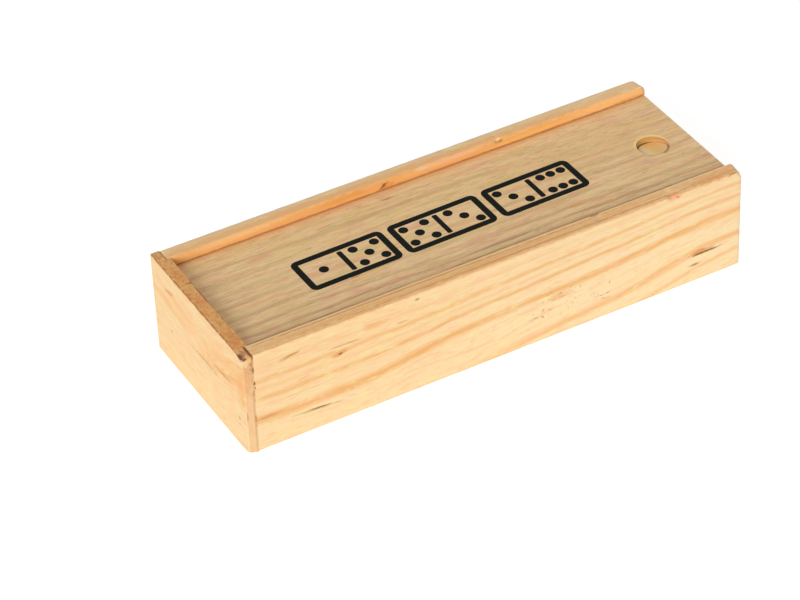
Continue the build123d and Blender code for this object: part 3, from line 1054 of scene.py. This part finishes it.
PRINTED_TILES = ((1, 5), (5, 3), (3, 6))
PRINT_MIDDLE = (-2.2, 0.15)  # in millimetres
PRINT_TURN = math.radians(1.0)
DIVIDER_SHARES = (0.8, 0.66)  # of the stroke and of a tile's width
DIVIDER_CORNER = 0.4  # in millimetres
INK_SUNK = 0.01  # how far the ink starts under the lid's top, in millimetres
PRINTED_PIPS = {
    1: ((0, 0),),
    3: ((-1, 1), (0, 0), (1, -1)),
    5: ((-1, -1), (-1, 1), (0, 0), (1, -1), (1, 1)),
    6: ((-1, -1), (-1, 1), (0, -1), (0, 1), (1, -1), (1, 1)),
}


class DOMINOBOX_OT_print(bpy.types.Operator):
    """Print a row of three joined-up domino tiles on the lid"""

    bl_idname = "domino_box.print"
    bl_label = "Print Lid"

    def execute(self, context):
        settings = context.scene.domino_box.ink
        side = settings.tile_width
        spacing = settings.pip_spacing
        deselect()
        bpy.ops.mesh.primitive_plane_add(size=1, location=(0, 0, 0))
        printed = context.active_object
        printed.name = "lid_print"
        bpy.ops.object.mode_set(mode="EDIT")
        bpy.ops.mesh.delete(type="VERT")
        for number, halves in enumerate(PRINTED_TILES):
            centre = (number - 1) * (2 * side + settings.gap)
            bpy.ops.mesh.primitive_plane_add(size=1, location=(centre, 0, 0))
            bpy.ops.transform.resize(value=(2 * side, side, 1))
            bpy.ops.mesh.bevel(offset=settings.corner, segments=6, affect="VERTICES")
            bpy.ops.mesh.inset(thickness=settings.stroke)
            bpy.ops.mesh.delete(type="FACE")
            bpy.ops.mesh.primitive_plane_add(size=1, location=(centre, 0, 0))
            bpy.ops.transform.resize(
                value=(settings.stroke * DIVIDER_SHARES[0], side * DIVIDER_SHARES[1], 1))
            bpy.ops.mesh.bevel(offset=DIVIDER_CORNER * MM, segments=3, affect="VERTICES")
            for half, pips in zip((-1, 1), halves):
                for column, row in PRINTED_PIPS[pips]:
                    at = (centre + half * side / 2 + column * spacing, row * spacing, 0)
                    bpy.ops.mesh.primitive_circle_add(
                        vertices=28, radius=settings.pip_radius, fill_type="NGON", location=at)
        bpy.ops.mesh.select_all(action="SELECT")
        bpy.ops.transform.rotate(value=-PRINT_TURN, orient_axis="Z", center_override=(0, 0, 0))
        bpy.ops.transform.translate(
            value=(PRINT_MIDDLE[0] * MM, PRINT_MIDDLE[1] * MM, (LID_TOP - INK_SUNK) * MM))
        bpy.ops.mesh.extrude_region_move(
            TRANSFORM_OT_translate={"value": (0, 0, settings.thickness)})
        bpy.ops.mesh.select_all(action="SELECT")
        bpy.ops.mesh.normals_make_consistent(inside=False)
        bpy.ops.object.mode_set(mode="OBJECT")

        finish = Finish("Print ink")
        grain = finish.noise(finish.scaled(finish.place, 0.25, 3.0, 3.0), detail=3.0, roughness=0.6)
        worn = finish.noise(finish.scaled(finish.place, 0.9, 1.5, 1.0), detail=4.0, roughness=0.7)
        base = finish.mix(finish.step(grain, 0.4, 0.7) * 0.5, settings.ink, linear("1B211C"))
        base = finish.mix(finish.step(worn, 0.64, 0.76) * 0.6, base, linear("6A5C40"))
        dress(printed, finish.surface(base, 0.6 + 0.2 * grain, grain, 0.02, specular=0.08))
        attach(printed, "lid")
        return {"FINISHED"}


CAMERA_TARGET = (-19.575, -7.857, 15.0)  # in millimetres
KEY_PLACE = (-0.68, -0.65, 0.36)  # only its direction from the box matters
FLOOR_GLOW = 0.72


class DOMINOBOX_OT_studio(bpy.types.Operator):
    """Set up the camera, the white floor and the lamps"""

    bl_idname = "domino_box.studio"
    bl_label = "Set Up Studio"

    def execute(self, context):
        settings = context.scene.domino_box.studio
        deselect()
        bpy.ops.object.camera_add()
        camera = context.active_object
        camera.name = "camera"
        target = Vector(CAMERA_TARGET) * MM
        turn = (
            Matrix.Rotation(settings.azimuth, 4, "Z")
            @ Matrix.Rotation(math.pi / 2 - settings.elevation, 4, "X")
            @ Matrix.Rotation(settings.roll, 4, "Z")
        )
        camera.matrix_world = Matrix.Translation(target) @ turn @ Matrix.Translation(
            (0, 0, settings.distance))
        camera.data.sensor_width = 36.0
        camera.data.lens = settings.lens
        camera.data.clip_start, camera.data.clip_end = 0.01, 50.0
        context.scene.camera = camera

        bpy.ops.mesh.primitive_plane_add(size=6.0, location=(0, 0, 0))
        floor = context.active_object
        floor.name = "floor"
        finish = Finish("White floor")
        seen = finish.node("ShaderNodeLightPath", output="Is Camera Ray")
        mottle = finish.noise(finish.scaled(finish.place, 0.01, 0.01, 0.01))
        shade = finish.mix(mottle * 0.05, (0.8, 0.8, 0.8), (0.76, 0.76, 0.76))
        sockets = finish.principled.inputs
        finish.link(finish.mix(seen, shade, (0.55, 0.55, 0.55)), sockets["Base Color"])
        sockets["Roughness"].default_value = 0.9
        sockets["Specular IOR Level"].default_value = 0.0
        lit = Wire(finish, finish.principled.outputs[0])
        glow = finish.node("ShaderNodeEmission", None, {"Color": (1, 1, 1), "Strength": FLOOR_GLOW})
        both = finish.node("ShaderNodeAddShader", None, {0: lit, 1: glow})
        either = finish.node("ShaderNodeMixShader", None, {0: seen, 1: lit, 2: both})
        finish.link(either, finish.tree.nodes["Material Output"].inputs["Surface"])
        dress(floor, finish.material)

        bpy.ops.object.light_add(type="SUN", location=KEY_PLACE)
        key = context.active_object
        key.name = "key_lamp"
        key.data.angle = math.radians(30)
        key.data.energy = settings.key_strength
        key.rotation_mode = "QUATERNION"
        key.rotation_quaternion = key.location.to_track_quat("Z", "Y")

        world = bpy.data.worlds.new("White room")
        context.scene.world = world
        world.use_nodes = True
        room = Nodes(world.node_tree)
        background = room.tree.nodes["Background"]
        background.inputs["Color"].default_value = (1, 1, 1, 1)
        seen = room.node("ShaderNodeLightPath", output="Is Camera Ray")
        mirrored = room.node("ShaderNodeLightPath", output="Is Glossy Ray")
        strength = room.node(
            "ShaderNodeMix", None, {0: seen.at_least(mirrored), 2: settings.ambient, 3: 1.0})
        room.link(strength, background.inputs["Strength"])
        context.scene.view_settings.view_transform = "Standard"
        return {"FINISHED"}


class DOMINOBOX_PT_sidebar(bpy.types.Panel):
    """Steps that dress the domino box"""

    bl_idname = "DOMINOBOX_PT_sidebar"
    bl_label = "Domino Box"
    bl_space_type = "VIEW_3D"
    bl_region_type = "UI"
    bl_category = "Domino Box"

    def draw(self, context):
        for operator in OPERATORS:
            self.layout.operator(operator.bl_idname)


OPERATORS = (
    DOMINOBOX_OT_studio, DOMINOBOX_OT_boards, DOMINOBOX_OT_lid, DOMINOBOX_OT_print,
    DOMINOBOX_OT_tiles,
)
CLASSES = (
    PineSettings, TileSettings, PrintSettings, StudioSettings, DominoBoxSettings,
    *OPERATORS, DOMINOBOX_PT_sidebar,
)


def register():
    for cls in CLASSES:
        bpy.utils.register_class(cls)
    bpy.types.Scene.domino_box = PointerProperty(
        type=DominoBoxSettings, name="Domino box", description="Settings of the domino box")


def unregister():
    del bpy.types.Scene.domino_box
    for cls in reversed(CLASSES):
        bpy.utils.unregister_class(cls)


def main():
    register()
    bpy.ops.domino_box.studio()
    bpy.ops.domino_box.boards()
    bpy.ops.domino_box.lid()
    bpy.ops.domino_box.print()
    bpy.ops.domino_box.tiles()


if __name__ == "__main__":
    main()
